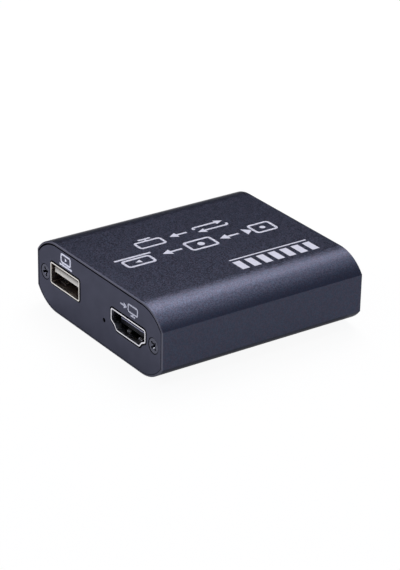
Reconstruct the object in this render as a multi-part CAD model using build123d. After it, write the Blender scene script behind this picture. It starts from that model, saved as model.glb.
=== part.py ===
from build123d import *
import math
import os

# Video capture box: a one-piece aluminium sleeve closed by two screwed end plates.
# One circuit board slides into the sleeve's slots and carries every socket.
# Millimetres, +Z up. The origin is under the middle of the box, X runs across the
# end plates and Y along the sleeve. The end with the data socket, the output
# socket and the indicator hole faces -Y; the end with the input socket and the
# two audio jacks faces +Y.

# Sleeve
case_width = 54.8
case_height = 18.5
case_length = 57.4
corner_radius = 10.8  # rounded shoulder, tangent to the flat top and bottom
corner_drop = 4.45  # height that a shoulder takes out of the flat side
wall = 1.3
rim_width = 0.5  # thin wall left around the plate at each mouth
rim_chamfer = 0.15
channel_radius = 2.3  # outside of the screw channels
channel_inset = 2.4  # channel axis, from the inner face of the side wall
channel_slot = 0.8  # opening of the channel towards the middle
rail_height = 0.65
rail_hold = 1.1  # how far a rail reaches over the board's edge
slot_clearance = 0.1
slot_side_gap = 0.25
cut_overrun = 1.0  # how far every cutting body runs past what it cuts

# End plates
plate_thickness = 1.5
plate_gap = 0.25  # groove between the plate and the rim
plate_drop = 0.17  # the plate rests this much below the middle of the mouth
plate_chamfer = 0.05
port_gap = 0.35  # around the data socket and the jacks
video_port_gap = 0.42
port_stand_out = 0.15  # data socket and jacks, in front of the plate
video_stand_out = 0.07

# Plate screws
head_radius = 1.85
head_rim = 0.12  # straight edge of the countersunk head
head_depth = 1.05
head_sink = 0.08
head_gap = 0.2  # between the head and its seat
shank_radius = 1.1
screw_length = 7.0
screw_fit = 0.05
recess_arm = 1.25
recess_slot = 0.6
recess_depth = 0.7
recess_cone = 0.75
front_screw_turns = (20, 45)  # degrees, anticlockwise as seen from outside
rear_screw_turns = (65, 10)

# Board
board_thickness = 1.6
board_space = 3.3  # free height under the board
board_end_gap = 0.25
leg_fit = 0.12

# Data socket
sheet = 0.3  # steel of all socket shells
data_width = 13.1
data_height = 5.7
data_corner = 0.65
data_depth = 13.6
data_axis_height = 4.05
data_side_gap = 0.4  # to the screw channel
data_tongue_width = 11.1
data_tongue_height = 1.65
data_tongue_gap = 0.6  # from the upper wall to the tongue
data_tongue_setback = 0.7
data_tongue_chamfer = 0.35  # along the upper front edge
data_block_depth = 4.0
data_contact_width = 1.0
data_contact_setback = 0.9
data_pin_pitches = (3.5, 1.0)  # outer and inner pair, from the middle
data_leaf_width = 2.6
data_leaf_length = 5.6
data_leaf_rise = 0.45
data_leaf_offset = 3.9
data_leg_width = 2.2
data_leg_depth = 5.2

# Video sockets
video_width = 14.6
video_height = 5.15
video_side_height = 3.2  # straight part of the sides, from the top
video_shoulder_step = 1.45
video_shoulder_drop = 0.75
video_base_step = 1.0
video_corner = 0.7
video_bend = 0.45
video_depth = 11.0
video_axis_height = 3.0
video_side_gap = 0.9  # to the screw channel
video_tongue_width = 10.6
video_tongue_height = 1.2
video_tongue_drop = 0.25  # tongue's middle below the shell's middle
video_tongue_setback = 1.6
video_tongue_chamfer = 0.15  # along the upper front edge
video_block_depth = 3.2
video_contact_width = 0.3
video_contact_pitch = 1.0
video_contact_setback = 0.5
video_upper_contacts = 10
video_leaf_width = 1.4
video_leaf_length = 4.8
video_leaf_rise = 0.42
video_leaf_offset = 2.45
video_leg_width = 1.2
video_leg_depths = (4.2, 9.6)

# Socket springs and contacts
contact_sheet = 0.2
contact_pad = 0.9
contact_back_gap = 0.25
window_gap = 0.12  # around a spring leaf in its window
hinge_gap = 0.06  # behind a leaf's root
insulator_fit = 0.05
pin_stick_out = 1.2  # legs and pins under the board
leaf_line_shares = ((0, 0), (0.42, 0), (0.84, 1), (1, 0.4))  # share of length, share of rise

# Audio jacks
jack_nose_radius = 2.5
jack_bore_radius = 1.8
jack_bore_length = 4.6
jack_body_width = 6.4
jack_body_height = 5.2
jack_body_length = 12.2
jack_axis_height = 2.6
jack_chamber_width = 4.8
jack_chamber_height = 3.6
jack_nose_step = 0.3  # nose shoulder behind the plate
jack_leaf_length = 3.6
jack_leaf_height = 1.5
jack_leaf_rise = 0.5
jack_leaf_room = 0.55  # between the leaf and the chamber's wall
jack_terminal_width = 1.2
jack_terminal_sheet = 0.3
jack_terminal_top = 0.6  # above the bore's axis
jack_edge_gap = 1.9  # from the board's edge to the outer jack
jack_pitch = 9.8

# Indicator
led_hole_radius = 0.55
led_place_share = 0.783  # across the space between the two front sockets
led_axis_height = 0.93
led_body_width = 2.0
led_body_height = 1.5
led_body_depth = 1.4
led_dome_radius = 0.45
led_dome_length = 0.7
led_plate_gap = 0.3

# Parts on the board
capture_size = 7.0
splitter_size = 9.0
chip_height = 1.0
lead_width = 0.25
lead_pitch = 0.5
lead_reach = 1.0
lead_sheet = 0.15
lead_lift = 0.45
leads_each_side = 12
memory_length = 4.9
memory_width = 3.9
memory_pitch = 1.27
memory_lead_width = 0.42
regulator_length = 6.0
regulator_width = 3.3
regulator_height = 1.6
regulator_pitch = 2.0
regulator_lead_width = 0.7
inductor_size = 4.0
inductor_height = 2.0
inductor_corner = 0.8
crystal_length = 3.2
crystal_width = 2.5
crystal_height = 0.8
bulk_length = 3.5
bulk_width = 2.8
bulk_height = 1.9
passive_length = 1.0
passive_width = 0.5
passive_height = 0.5
passive_pitch = 1.6
surge_length = 2.5
surge_width = 1.0
surge_height = 0.6
surge_pitch = 3.6
surge_setback = 1.3
passives_in_row = 4
capture_place_share = (-0.1, 0.0)
splitter_place_share = (0.515, 0.0)
memory_place_share = (-0.66, 0.5)
regulator_place_shares = ((-0.66, -0.5),)
inductor_place_shares = ((-0.41, -0.5), (-0.41, 0.5))
crystal_place_shares = ((-0.1, -0.78), (0.515, -0.78))
bulk_place_shares = ((0.2, -0.6), (0.2, 0.0), (0.2, 0.6))

# Sizes that follow from the ones above
half_length = case_length / 2
inner_half_width = case_width / 2 - wall
shoulder_reach = math.sqrt(corner_radius**2 - (corner_radius - corner_drop) ** 2)
shoulder_start = case_width / 2 - shoulder_reach
board_bottom = wall + board_space
board_top = board_bottom + board_thickness
channel_x = inner_half_width - channel_inset
screw_z = board_top + slot_clearance + rail_height + channel_radius
board_half_length = half_length - plate_thickness - board_end_gap
data_x = -(channel_x - channel_radius - data_side_gap - data_width / 2)
video_x = channel_x - channel_radius - video_side_gap - video_width / 2
data_side = data_x + data_width / 2
led_x = data_side + (video_x - video_width / 2 - data_side) * led_place_share
jack_length = port_stand_out + plate_thickness + jack_nose_step + jack_body_length
pin_low = -board_thickness - pin_stick_out


def half_width_at(height, inset):
    """Half width of the case outline, moved in by inset, at one height."""
    side = case_width / 2 - inset
    below_centre = corner_radius - min(height, case_height - height)
    if below_centre <= 0:
        return side
    return min(side, shoulder_start + math.sqrt((corner_radius - inset) ** 2 - below_centre**2))


board_half_width = half_width_at(board_bottom, wall) - slot_side_gap
outer_jack_x = -(board_half_width - jack_edge_gap - jack_body_width / 2 - channel_inset)
inner_jack_x = outer_jack_x + jack_pitch
free_front = -half_length - port_stand_out + data_depth + contact_back_gap + contact_sheet
free_back = half_length + port_stand_out - jack_length


def block(low, high):
    """Box between two corners."""
    size = [b - a for a, b in zip(low, high)]
    centre = [(a + b) / 2 for a, b in zip(low, high)]
    return Pos(*centre) * Box(*size)


def along_y(section, y_from, y_to):
    """Solid of a section drawn in X and Z."""
    plane = Plane(origin=(0, y_to, 0), x_dir=(1, 0, 0), z_dir=(0, -1, 0))
    return extrude(plane * section, amount=y_to - y_from)


def along_x(section, x_from, x_to):
    """Solid of a section drawn in Y and Z."""
    plane = Plane(origin=(x_from, 0, 0), x_dir=(0, 1, 0), z_dir=(1, 0, 0))
    return extrude(plane * section, amount=x_to - x_from)


def along_z(section, z_from, z_to):
    """Solid of a section drawn in X and Y."""
    return extrude(Plane.XY.offset(z_from) * section, amount=z_to - z_from)


def polygon(points):
    return make_face(Polyline(points, close=True))


def disc_rod(radius, x, z, y_from, y_to):
    return along_y(Pos(x, z) * Circle(radius), y_from, y_to)


def case_outline(inset):
    """The case's end view, moved in by inset."""
    side = case_width / 2 - inset
    radius = corner_radius - inset
    end_angle = math.asin((side - shoulder_start) / radius)
    quarter = []
    for angle in (0, end_angle / 2, end_angle):
        across = shoulder_start + radius * math.sin(angle)
        quarter.append((across, corner_radius - radius * math.cos(angle)))
    low_right = quarter
    high_right = [(x, case_height - z) for x, z in reversed(quarter)]
    high_left = [(-x, z) for x, z in reversed(high_right)]
    low_left = [(-x, z) for x, z in reversed(low_right)]
    corners = (low_right, high_right, high_left, low_left)
    edges = []
    for corner, following in zip(corners, corners[1:] + corners[:1]):
        edges.append(ThreePointArc(*corner))
        edges.append(Line(corner[-1], following[0]))
    return make_face(edges)


def sleeve_section():
    """Wall, two screw channels and two pairs of board rails."""
    ribs = Sketch()
    screw_holes = Sketch()
    rail_inner = board_half_width - rail_hold
    rail_width = case_width / 2 - rail_inner
    low_rail_z = board_bottom - slot_clearance - rail_height / 2
    high_rail_z = board_top + slot_clearance + rail_height / 2
    for side in (-1, 1):
        rail_x = side * (rail_inner + rail_width / 2)
        web_x = side * (channel_x + channel_inset / 2)
        ribs += Pos(side * channel_x, screw_z) * Circle(channel_radius)
        ribs += Pos(web_x, screw_z) * Rectangle(channel_inset, channel_radius)
        ribs += Pos(rail_x, low_rail_z) * Rectangle(rail_width, rail_height)
        ribs += Pos(rail_x, high_rail_z) * Rectangle(rail_width, rail_height)
        slot_x = side * (channel_x - channel_radius / 2)
        screw_holes += Pos(side * channel_x, screw_z) * Circle(shank_radius + screw_fit)
        screw_holes += Pos(slot_x, screw_z) * Rectangle(channel_radius, channel_slot)
    ribs = ribs & case_outline(wall / 2)
    return case_outline(0) - case_outline(wall) + ribs - screw_holes


def case_sleeve():
    sleeve = along_y(sleeve_section(), -half_length, half_length)
    for end in (-1, 1):
        mouth = sorted((end * (half_length - plate_thickness), end * (half_length + cut_overrun)))
        sleeve -= along_y(case_outline(rim_width), *mouth)
    ends = sleeve.faces().filter_by(Axis.Y).sort_by(Axis.Y)
    outer_edges = ends[0].outer_wire().edges() + ends[-1].outer_wire().edges()
    return chamfer(outer_edges, rim_chamfer)


def blank_plate():
    """End plate with its two countersunk screw holes, outer face at depth zero."""
    plate = along_y(Pos(0, -plate_drop) * case_outline(rim_width + plate_gap), 0, plate_thickness)
    front = plate.faces().filter_by(Axis.Y).sort_by(Axis.Y)[0]
    plate = chamfer(front.outer_wire().edges(), plate_chamfer)
    through = (-cut_overrun, plate_thickness + cut_overrun)
    for side in (-1, 1):
        plate -= disc_rod(shank_radius + screw_fit, side * channel_x, screw_z, *through)
        plate -= Pos(side * channel_x, 0, screw_z) * countersink()
    return plate


def countersink():
    """Cutting body for the seat of a screw head, axis along Y."""
    mouth = head_radius + head_gap
    floor = head_sink + head_depth + head_gap
    section = polygon(
        [
            (0, -cut_overrun),
            (mouth, -cut_overrun),
            (mouth, head_sink + head_rim),
            (shank_radius + screw_fit, floor),
            (0, floor),
        ]
    )
    return revolve(section, Axis.Y)


def screw():
    """Countersunk cross-recess screw, axis along Y, head at the plate's face."""
    section = polygon(
        [
            (0, head_sink),
            (head_radius, head_sink),
            (head_radius, head_sink + head_rim),
            (shank_radius, head_sink + head_depth),
            (shank_radius, screw_length - shank_radius),
            (shank_radius / 2, screw_length),
            (0, screw_length),
        ]
    )
    body = revolve(section, Axis.Y)
    floor = head_sink + recess_depth
    arm, slot = recess_arm, recess_slot / 2
    body -= block((-arm, -cut_overrun, -slot), (arm, floor, slot))
    body -= block((-slot, -cut_overrun, -arm), (slot, floor, arm))
    mouth = [(0, -cut_overrun), (recess_cone, -cut_overrun)]
    cone = polygon(mouth + [(recess_cone, head_sink), (0, floor)])
    return body - revolve(cone, Axis.Y)


def at_front(shape, x, stand_out):
    """Places a socket whose mouth is at depth zero and whose board top is at height zero."""
    return Pos(x, -half_length - stand_out, board_top) * shape


def at_rear(shape, x, stand_out):
    return Pos(x, half_length + stand_out, board_top) * Rot(0, 0, 180) * shape


def placed(shapes, place, x, stand_out):
    return [place(shape, x, stand_out) for shape in shapes]


def data_outline(grow):
    corner = max(data_corner + grow, data_corner / 2)
    face = RectangleRounded(data_width + 2 * grow, data_height + 2 * grow, corner)
    return Pos(0, data_axis_height) * face


def video_outline(grow):
    """Mouth with its two stepped lower corners, larger than the shell by grow."""
    half, top = video_width / 2, video_height / 2
    shoulder = top - video_side_height
    base = half - video_shoulder_step - video_base_step
    right = [
        (half, top),
        (half, shoulder),
        (half - video_shoulder_step, shoulder - video_shoulder_drop),
        (base, -top),
    ]
    left = [(-x, z) for x, z in reversed(right)]
    radii = [video_corner, video_bend, video_bend, video_corner]
    line = FilletPolyline(right + left, radius=radii + radii[::-1], close=True)
    face = make_face(line.edges())
    if grow:
        face = offset(face, amount=grow)
    return Pos(0, video_axis_height) * face


def leaf_line(root, length, rise, thickness):
    """Side view of a spring leaf that runs from its root towards the mouth."""
    lower = [(root - length * along, rise * up) for along, up in leaf_line_shares]
    upper = [(y, z + thickness) for y, z in reversed(lower)]
    return polygon(lower + upper)


def leaf_pair(root, wall_z, inwards, width, length, rise, spread):
    """Two spring leaves in a shell's wall; inwards is +1 where they bend up."""
    section = leaf_line(root, length, rise, sheet)
    if inwards < 0:
        section = mirror(section, Plane.XZ)
    leaves = []
    for side in (-1, 1):
        leaf = along_x(section, side * spread - width / 2, side * spread + width / 2)
        leaves.append(Pos(0, 0, wall_z) * leaf)
    return leaves


def leaf_windows(root, wall_z, width, length, spread):
    """Cutting bodies for the windows that two leaves stand in."""
    windows = []
    for side in (-1, 1):
        low = (side * spread - width / 2 - window_gap, root - length - window_gap, wall_z - sheet)
        high = (side * spread + width / 2 + window_gap, root + hinge_gap, wall_z + sheet)
        windows.append(block(low, high))
    return windows


data_leaf_root = port_stand_out + plate_thickness + 2 * window_gap + data_leaf_length
video_leaf_root = video_stand_out + plate_thickness + 2 * window_gap + video_leaf_length
data_wall_low = data_axis_height - data_height / 2
data_wall_high = data_axis_height + data_height / 2
video_wall_low = video_axis_height - video_height / 2
video_wall_high = video_axis_height + video_height / 2


def leg(x, depth, width, top):
    """Shell leg in the plane of a side wall, through the board."""
    inner = x - sheet if x > 0 else x
    return block((inner, depth - width / 2, pin_low), (inner + sheet, depth + width / 2, top))


def data_legs():
    """Place across and along of each leg."""
    return [(side * data_width / 2, data_leg_depth) for side in (-1, 1)]


def video_legs():
    return [(side * video_width / 2, depth) for side in (-1, 1) for depth in video_leg_depths]


def data_socket_shell():
    shell = along_y(data_outline(0) - data_outline(-sheet), 0, data_depth)
    leaf = (data_leaf_width, data_leaf_length, data_leaf_offset)
    for wall_z in (data_wall_low, data_wall_high):
        for window in leaf_windows(data_leaf_root, wall_z, *leaf):
            shell -= window
    for x, depth in data_legs():
        shell += leg(x, depth, data_leg_width, data_axis_height)
    return shell


def data_upper_springs():
    leaf = (data_leaf_width, data_leaf_length, data_leaf_rise, data_leaf_offset)
    return leaf_pair(data_leaf_root, data_wall_high, -1, *leaf)


def data_lower_springs():
    leaf = (data_leaf_width, data_leaf_length, data_leaf_rise, data_leaf_offset)
    return leaf_pair(data_leaf_root, data_wall_low, 1, *leaf)


data_tongue_top = data_wall_high - sheet - data_tongue_gap
data_tongue_low = data_tongue_top - data_tongue_height
data_contact_places = [side * pitch for side in (-1, 1) for pitch in data_pin_pitches]


def data_socket_tongue():
    """Insulator: a block that fills the back of the shell, with a tongue to the front."""
    block_front = data_depth - data_block_depth
    body = along_y(data_outline(-sheet - insulator_fit), block_front, data_depth)
    half = data_tongue_width / 2
    section = polygon(
        [
            (data_tongue_setback, data_tongue_low),
            (data_tongue_setback, data_tongue_top - data_tongue_chamfer),
            (data_tongue_setback + data_tongue_chamfer, data_tongue_top),
            (data_depth, data_tongue_top),
            (data_depth, data_tongue_low),
        ]
    )
    body += along_x(section, -half, half)
    slot = data_contact_width / 2 + insulator_fit
    for x in data_contact_places:
        low = (x - slot, block_front - insulator_fit, data_tongue_low - contact_sheet - insulator_fit)
        body -= block(low, (x + slot, data_depth + cut_overrun, data_tongue_low))
    return body


def data_socket_contacts():
    """Four strips under the tongue that turn down behind the block and through the board."""
    back = data_depth + contact_back_gap + contact_sheet
    start = data_tongue_setback + data_contact_setback
    section = polygon(
        [
            (start, data_tongue_low),
            (back, data_tongue_low),
            (back, pin_low),
            (back - contact_sheet, pin_low),
            (back - contact_sheet, data_tongue_low - contact_sheet),
            (start, data_tongue_low - contact_sheet),
        ]
    )
    half = data_contact_width / 2
    return [along_x(section, x - half, x + half) for x in data_contact_places]


def video_socket_shell():
    shell = along_y(video_outline(0) - video_outline(-sheet), 0, video_depth)
    leaf = (video_leaf_width, video_leaf_length, video_leaf_offset)
    for wall_z in (video_wall_low, video_wall_high):
        for window in leaf_windows(video_leaf_root, wall_z, *leaf):
            shell -= window
    for x, depth in video_legs():
        shell += leg(x, depth, video_leg_width, video_axis_height)
    return shell


def video_upper_springs():
    leaf = (video_leaf_width, video_leaf_length, video_leaf_rise, video_leaf_offset)
    return leaf_pair(video_leaf_root, video_wall_high, -1, *leaf)


def video_lower_springs():
    leaf = (video_leaf_width, video_leaf_length, video_leaf_rise, video_leaf_offset)
    return leaf_pair(video_leaf_root, video_wall_low, 1, *leaf)


video_tongue_middle = video_axis_height - video_tongue_drop
video_tongue_top = video_tongue_middle + video_tongue_height / 2
video_tongue_low = video_tongue_middle - video_tongue_height / 2


def contact_row(count):
    """Places of one row of contacts, about the middle."""
    return [(i - (count - 1) / 2) * video_contact_pitch for i in range(count)]


def video_socket_tongue():
    block_front = video_depth - video_block_depth
    body = along_y(video_outline(-sheet - insulator_fit), block_front, video_depth)
    half = video_tongue_width / 2
    section = polygon(
        [
            (video_tongue_setback, video_tongue_low),
            (video_tongue_setback, video_tongue_top - video_tongue_chamfer),
            (video_tongue_setback + video_tongue_chamfer, video_tongue_top),
            (video_depth, video_tongue_top),
            (video_depth, video_tongue_low),
        ]
    )
    body += along_x(section, -half, half)
    slot = video_contact_width / 2 + insulator_fit
    for x in contact_row(video_upper_contacts):
        high = (x + slot, video_depth + cut_overrun, video_tongue_top + contact_sheet + insulator_fit)
        body -= block((x - slot, block_front - insulator_fit, video_tongue_top), high)
    for x in contact_row(video_upper_contacts - 1):
        low = (x - slot, block_front - insulator_fit, video_tongue_low - contact_sheet - insulator_fit)
        body -= block(low, (x + slot, video_depth + cut_overrun, video_tongue_low))
    return body


def video_contact(x, strip_low):
    """One strip on the tongue, with a solder pad on the board behind the socket."""
    start = video_tongue_setback + video_contact_setback
    back = video_depth + contact_back_gap + contact_sheet
    section = polygon(
        [
            (start, strip_low),
            (start, strip_low + contact_sheet),
            (back, strip_low + contact_sheet),
            (back, contact_sheet),
            (back + contact_pad, contact_sheet),
            (back + contact_pad, 0),
            (back - contact_sheet, 0),
            (back - contact_sheet, strip_low),
        ]
    )
    half = video_contact_width / 2
    return along_x(section, x - half, x + half)


def video_socket_contacts():
    upper = [video_contact(x, video_tongue_top) for x in contact_row(video_upper_contacts)]
    low = video_tongue_low - contact_sheet
    return upper + [video_contact(x, low) for x in contact_row(video_upper_contacts - 1)]


jack_body_front = port_stand_out + plate_thickness + jack_nose_step
jack_chamber_half = jack_chamber_width / 2
jack_leaf_x = -jack_chamber_half + jack_leaf_room
jack_leaf_root = jack_length - jack_terminal_width - hinge_gap
jack_terminal_depths = (
    jack_bore_length + jack_terminal_width,
    jack_bore_length + 2.5 * jack_terminal_width,
    jack_length - jack_terminal_width / 2,
)


def jack_terminal_places():
    """Faces across and depth of the ground, ring and tip terminals."""
    sheet_inside = jack_chamber_half - jack_terminal_sheet
    return [
        (-sheet_inside, -jack_chamber_half, jack_terminal_depths[0]),
        (sheet_inside, jack_chamber_half, jack_terminal_depths[1]),
        (jack_leaf_x, jack_leaf_x - jack_terminal_sheet, jack_terminal_depths[2]),
    ]


def jack_housing():
    """Moulded body with a round nose, a bore for the plug and a chamber for the springs."""
    nose = disc_rod(jack_nose_radius, 0, jack_axis_height, 0, jack_body_front)
    half = jack_body_width / 2
    body = nose + block((-half, jack_body_front, 0), (half, jack_length, jack_body_height))
    body -= disc_rod(jack_bore_radius, 0, jack_axis_height, -cut_overrun, jack_bore_length)
    low_z = jack_axis_height - jack_chamber_height / 2
    high = (jack_chamber_half, jack_length + cut_overrun, low_z + jack_chamber_height)
    body -= block((-jack_chamber_half, jack_bore_length, low_z), high)
    slot = jack_terminal_width / 2 + leg_fit
    for inner, outer, depth in jack_terminal_places():
        xs = sorted((inner, outer))
        low = (xs[0] - leg_fit, depth - slot, -cut_overrun)
        body -= block(low, (xs[1] + leg_fit, depth + slot, low_z + leg_fit))
    return body


def jack_terminals():
    """Ground, ring and tip blades that pass through the floor and the board."""
    top = jack_axis_height + jack_terminal_top
    half = jack_terminal_width / 2
    blades = []
    for inner, outer, depth in jack_terminal_places():
        xs = sorted((inner, outer))
        blades.append(block((xs[0], depth - half, pin_low), (xs[1], depth + half, top)))
    return blades


def jack_tip_spring():
    """Spring leaf that the plug's tip pushes aside, hinged at the tip terminal."""
    lower = [(jack_leaf_root - jack_leaf_length * a, jack_leaf_rise * b) for a, b in leaf_line_shares]
    outer = [(jack_leaf_x - jack_terminal_sheet + rise, y) for y, rise in lower]
    inner = [(x + jack_terminal_sheet, y) for x, y in reversed(outer)]
    z_from = jack_axis_height - jack_leaf_height / 2
    return along_z(polygon(outer + inner), z_from, z_from + jack_leaf_height)


def board_slot(x_from, x_to, depth_from, depth_to):
    """Cutting body for one leg or pin, with its clearance."""
    low = (x_from - leg_fit, depth_from - leg_fit, -board_thickness - cut_overrun)
    return block(low, (x_to + leg_fit, depth_to + leg_fit, cut_overrun))


def leg_slots(places, width):
    slots = []
    for x, depth in places:
        inner = x - sheet if x > 0 else x
        slots.append(board_slot(inner, inner + sheet, depth - width / 2, depth + width / 2))
    return slots


def board_holes():
    """Slots for every leg and pin, cut through the board."""
    data_slots = leg_slots(data_legs(), data_leg_width)
    pin_back = data_depth + contact_back_gap + contact_sheet
    half = data_contact_width / 2
    for x in data_contact_places:
        data_slots.append(board_slot(x - half, x + half, pin_back - contact_sheet, pin_back))
    video_slots = leg_slots(video_legs(), video_leg_width)
    jack_slots = []
    half = jack_terminal_width / 2
    for inner, outer, depth in jack_terminal_places():
        jack_slots.append(board_slot(min(inner, outer), max(inner, outer), depth - half, depth + half))
    holes = placed(data_slots, at_front, data_x, port_stand_out)
    holes += placed(video_slots, at_front, video_x, video_stand_out)
    holes += placed(video_slots, at_rear, video_x, video_stand_out)
    for x in (outer_jack_x, inner_jack_x):
        holes += placed(jack_slots, at_rear, x, port_stand_out)
    return holes


def circuit_board():
    low = (-board_half_width, -board_half_length, board_bottom)
    board = block(low, (board_half_width, board_half_length, board_top))
    for hole in board_holes():
        board -= hole
    return board


def front_end_plate():
    plate = Pos(0, -half_length, 0) * blank_plate()
    span = (-half_length - cut_overrun, -half_length + plate_thickness + cut_overrun)
    plate -= along_y(Pos(data_x, board_top) * data_outline(port_gap), *span)
    plate -= along_y(Pos(video_x, board_top) * video_outline(video_port_gap), *span)
    return plate - disc_rod(led_hole_radius, led_x, board_top + led_axis_height, *span)


def rear_end_plate():
    plate = Pos(0, half_length, 0) * Rot(0, 0, 180) * blank_plate()
    span = (half_length - plate_thickness - cut_overrun, half_length + cut_overrun)
    plate -= along_y(Pos(video_x, board_top) * video_outline(video_port_gap), *span)
    for x in (outer_jack_x, inner_jack_x):
        plate -= disc_rod(jack_nose_radius + port_gap, x, board_top + jack_axis_height, *span)
    return plate


def turned_screws(turns):
    """Left and right screw of one plate, each left at its own angle by the last turn of the driver."""
    places = zip((-channel_x, channel_x), turns)
    return [Pos(x, -half_length, screw_z) * Rot(0, -turn, 0) * screw() for x, turn in places]


def front_plate_screws():
    return turned_screws(front_screw_turns)


def rear_plate_screws():
    return [Rot(0, 0, 180) * shape for shape in turned_screws(rear_screw_turns)]


led_front = -half_length + plate_thickness + led_plate_gap
led_z = board_top + led_axis_height


def led_body():
    front = led_front + led_dome_length
    half = led_body_width / 2
    high = (led_x + half, front + led_body_depth, board_top + led_body_height)
    body = block((led_x - half, front, board_top), high)
    return body - disc_rod(led_dome_radius, led_x, led_z, front - cut_overrun, front + led_body_depth / 2)


def led_dome():
    """Clear dome that faces the hole, seated in the body."""
    back = led_front + led_dome_length + led_body_depth / 2
    rod = disc_rod(led_dome_radius, led_x, led_z, led_front + led_dome_radius, back)
    return rod + Pos(led_x, led_front + led_dome_radius, led_z) * Sphere(led_dome_radius)


def board_place(share):
    """Point on the board's top, from shares of its half width and of the free length."""
    middle = (free_front + free_back) / 2
    return share[0] * board_half_width, middle + share[1] * (free_back - free_front) / 2


def seated_box(share, width, length, height, lift=0):
    x, y = board_place(share)
    low = (x - width / 2, y - length / 2, board_top + lift)
    return block(low, (x + width / 2, y + length / 2, board_top + lift + height))


def gull_lead(reach, width):
    """Lead that leaves a chip's side at the origin along +X and steps down to the board."""
    section = polygon(
        [
            (0, lead_lift),
            (0, lead_lift + lead_sheet),
            (reach / 2, lead_lift + lead_sheet),
            (reach / 2, lead_sheet),
            (reach, lead_sheet),
            (reach, 0),
            (reach / 2 - lead_sheet, 0),
            (reach / 2 - lead_sheet, lead_lift),
        ]
    )
    plane = Plane(origin=(0, width / 2, 0), x_dir=(1, 0, 0), z_dir=(0, -1, 0))
    return extrude(plane * section, amount=width)


def lead_rows(share, half_size, pitch, count, width, turns):
    """Rows of leads on the sides of a chip that turns names, in degrees."""
    x, y = board_place(share)
    lead = gull_lead(lead_reach, width)
    leads = []
    for turn in turns:
        for i in range(count):
            shift = (i - (count - 1) / 2) * pitch
            leads.append(Pos(x, y, board_top) * Rot(0, 0, turn) * Pos(half_size, shift, 0) * lead)
    return leads


def capture_chip():
    return seated_box(capture_place_share, capture_size, capture_size, chip_height, lead_sheet)


def capture_chip_leads():
    sides = (0, 90, 180, 270)
    size = capture_size / 2
    return lead_rows(capture_place_share, size, lead_pitch, leads_each_side, lead_width, sides)


def splitter_chip():
    return seated_box(splitter_place_share, splitter_size, splitter_size, chip_height)


def memory_chip():
    return seated_box(memory_place_share, memory_width, memory_length, chip_height, lead_sheet)


def memory_chip_leads():
    half = memory_width / 2
    return lead_rows(memory_place_share, half, memory_pitch, 4, memory_lead_width, (0, 180))


def voltage_regulator():
    size = (regulator_width, regulator_length, regulator_height, lead_sheet)
    return [seated_box(share, *size) for share in regulator_place_shares]


def voltage_regulator_leads():
    leads = []
    for share in regulator_place_shares:
        leads += lead_rows(share, regulator_width / 2, regulator_pitch, 3, regulator_lead_width, (0,))
        tab_width = regulator_pitch + regulator_lead_width
        leads += lead_rows(share, regulator_width / 2, regulator_pitch, 1, tab_width, (180,))
    return leads


def power_inductors():
    coils = []
    for share in inductor_place_shares:
        x, y = board_place(share)
        face = Pos(x, y) * RectangleRounded(inductor_size, inductor_size, inductor_corner)
        coils.append(along_z(face, board_top, board_top + inductor_height))
    return coils


def crystals():
    size = (crystal_length, crystal_width, crystal_height)
    return [seated_box(share, *size) for share in crystal_place_shares]


def bulk_capacitors():
    return [seated_box(share, bulk_width, bulk_length, bulk_height) for share in bulk_place_shares]


def surge_arrays():
    """Small protection arrays between each video socket's pads and the chips."""
    pads_reach = contact_back_gap + contact_sheet + contact_pad
    y = half_length + video_stand_out - video_depth - pads_reach - surge_setback
    half_x, half_y = surge_length / 2, surge_width / 2
    arrays = []
    for end in (-1, 1):
        for i in (-1, 0, 1):
            x = video_x + i * surge_pitch
            low = (x - half_x, end * y - half_y, board_top)
            arrays.append(block(low, (x + half_x, end * y + half_y, board_top + surge_height)))
    return arrays


def passive_row(share, y_offset, length, width, z_from, z_to):
    """Row of small parts along X, beside or under a chip."""
    x, y = board_place(share)
    row = []
    for i in range(passives_in_row):
        centre = x + (i - (passives_in_row - 1) / 2) * passive_pitch
        low = (centre - width / 2, y + y_offset - length / 2, z_from)
        row.append(block(low, (centre + width / 2, y + y_offset + length / 2, z_to)))
    return row


def chip_capacitors():
    """Two rows under each large chip, on the board's lower face."""
    size = (passive_length, passive_width, board_bottom - passive_height, board_bottom)
    row = []
    for share in (capture_place_share, splitter_place_share):
        for offset_y in (-passive_pitch, passive_pitch):
            row += passive_row(share, offset_y, *size)
    return row


def chip_resistors():
    """One row behind each large chip, on the board's upper face."""
    size = (passive_length, passive_width, board_top, board_top + passive_height)
    row = passive_row(capture_place_share, capture_size / 2 + lead_reach + passive_pitch, *size)
    return row + passive_row(splitter_place_share, splitter_size / 2 + passive_pitch, *size)


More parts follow.
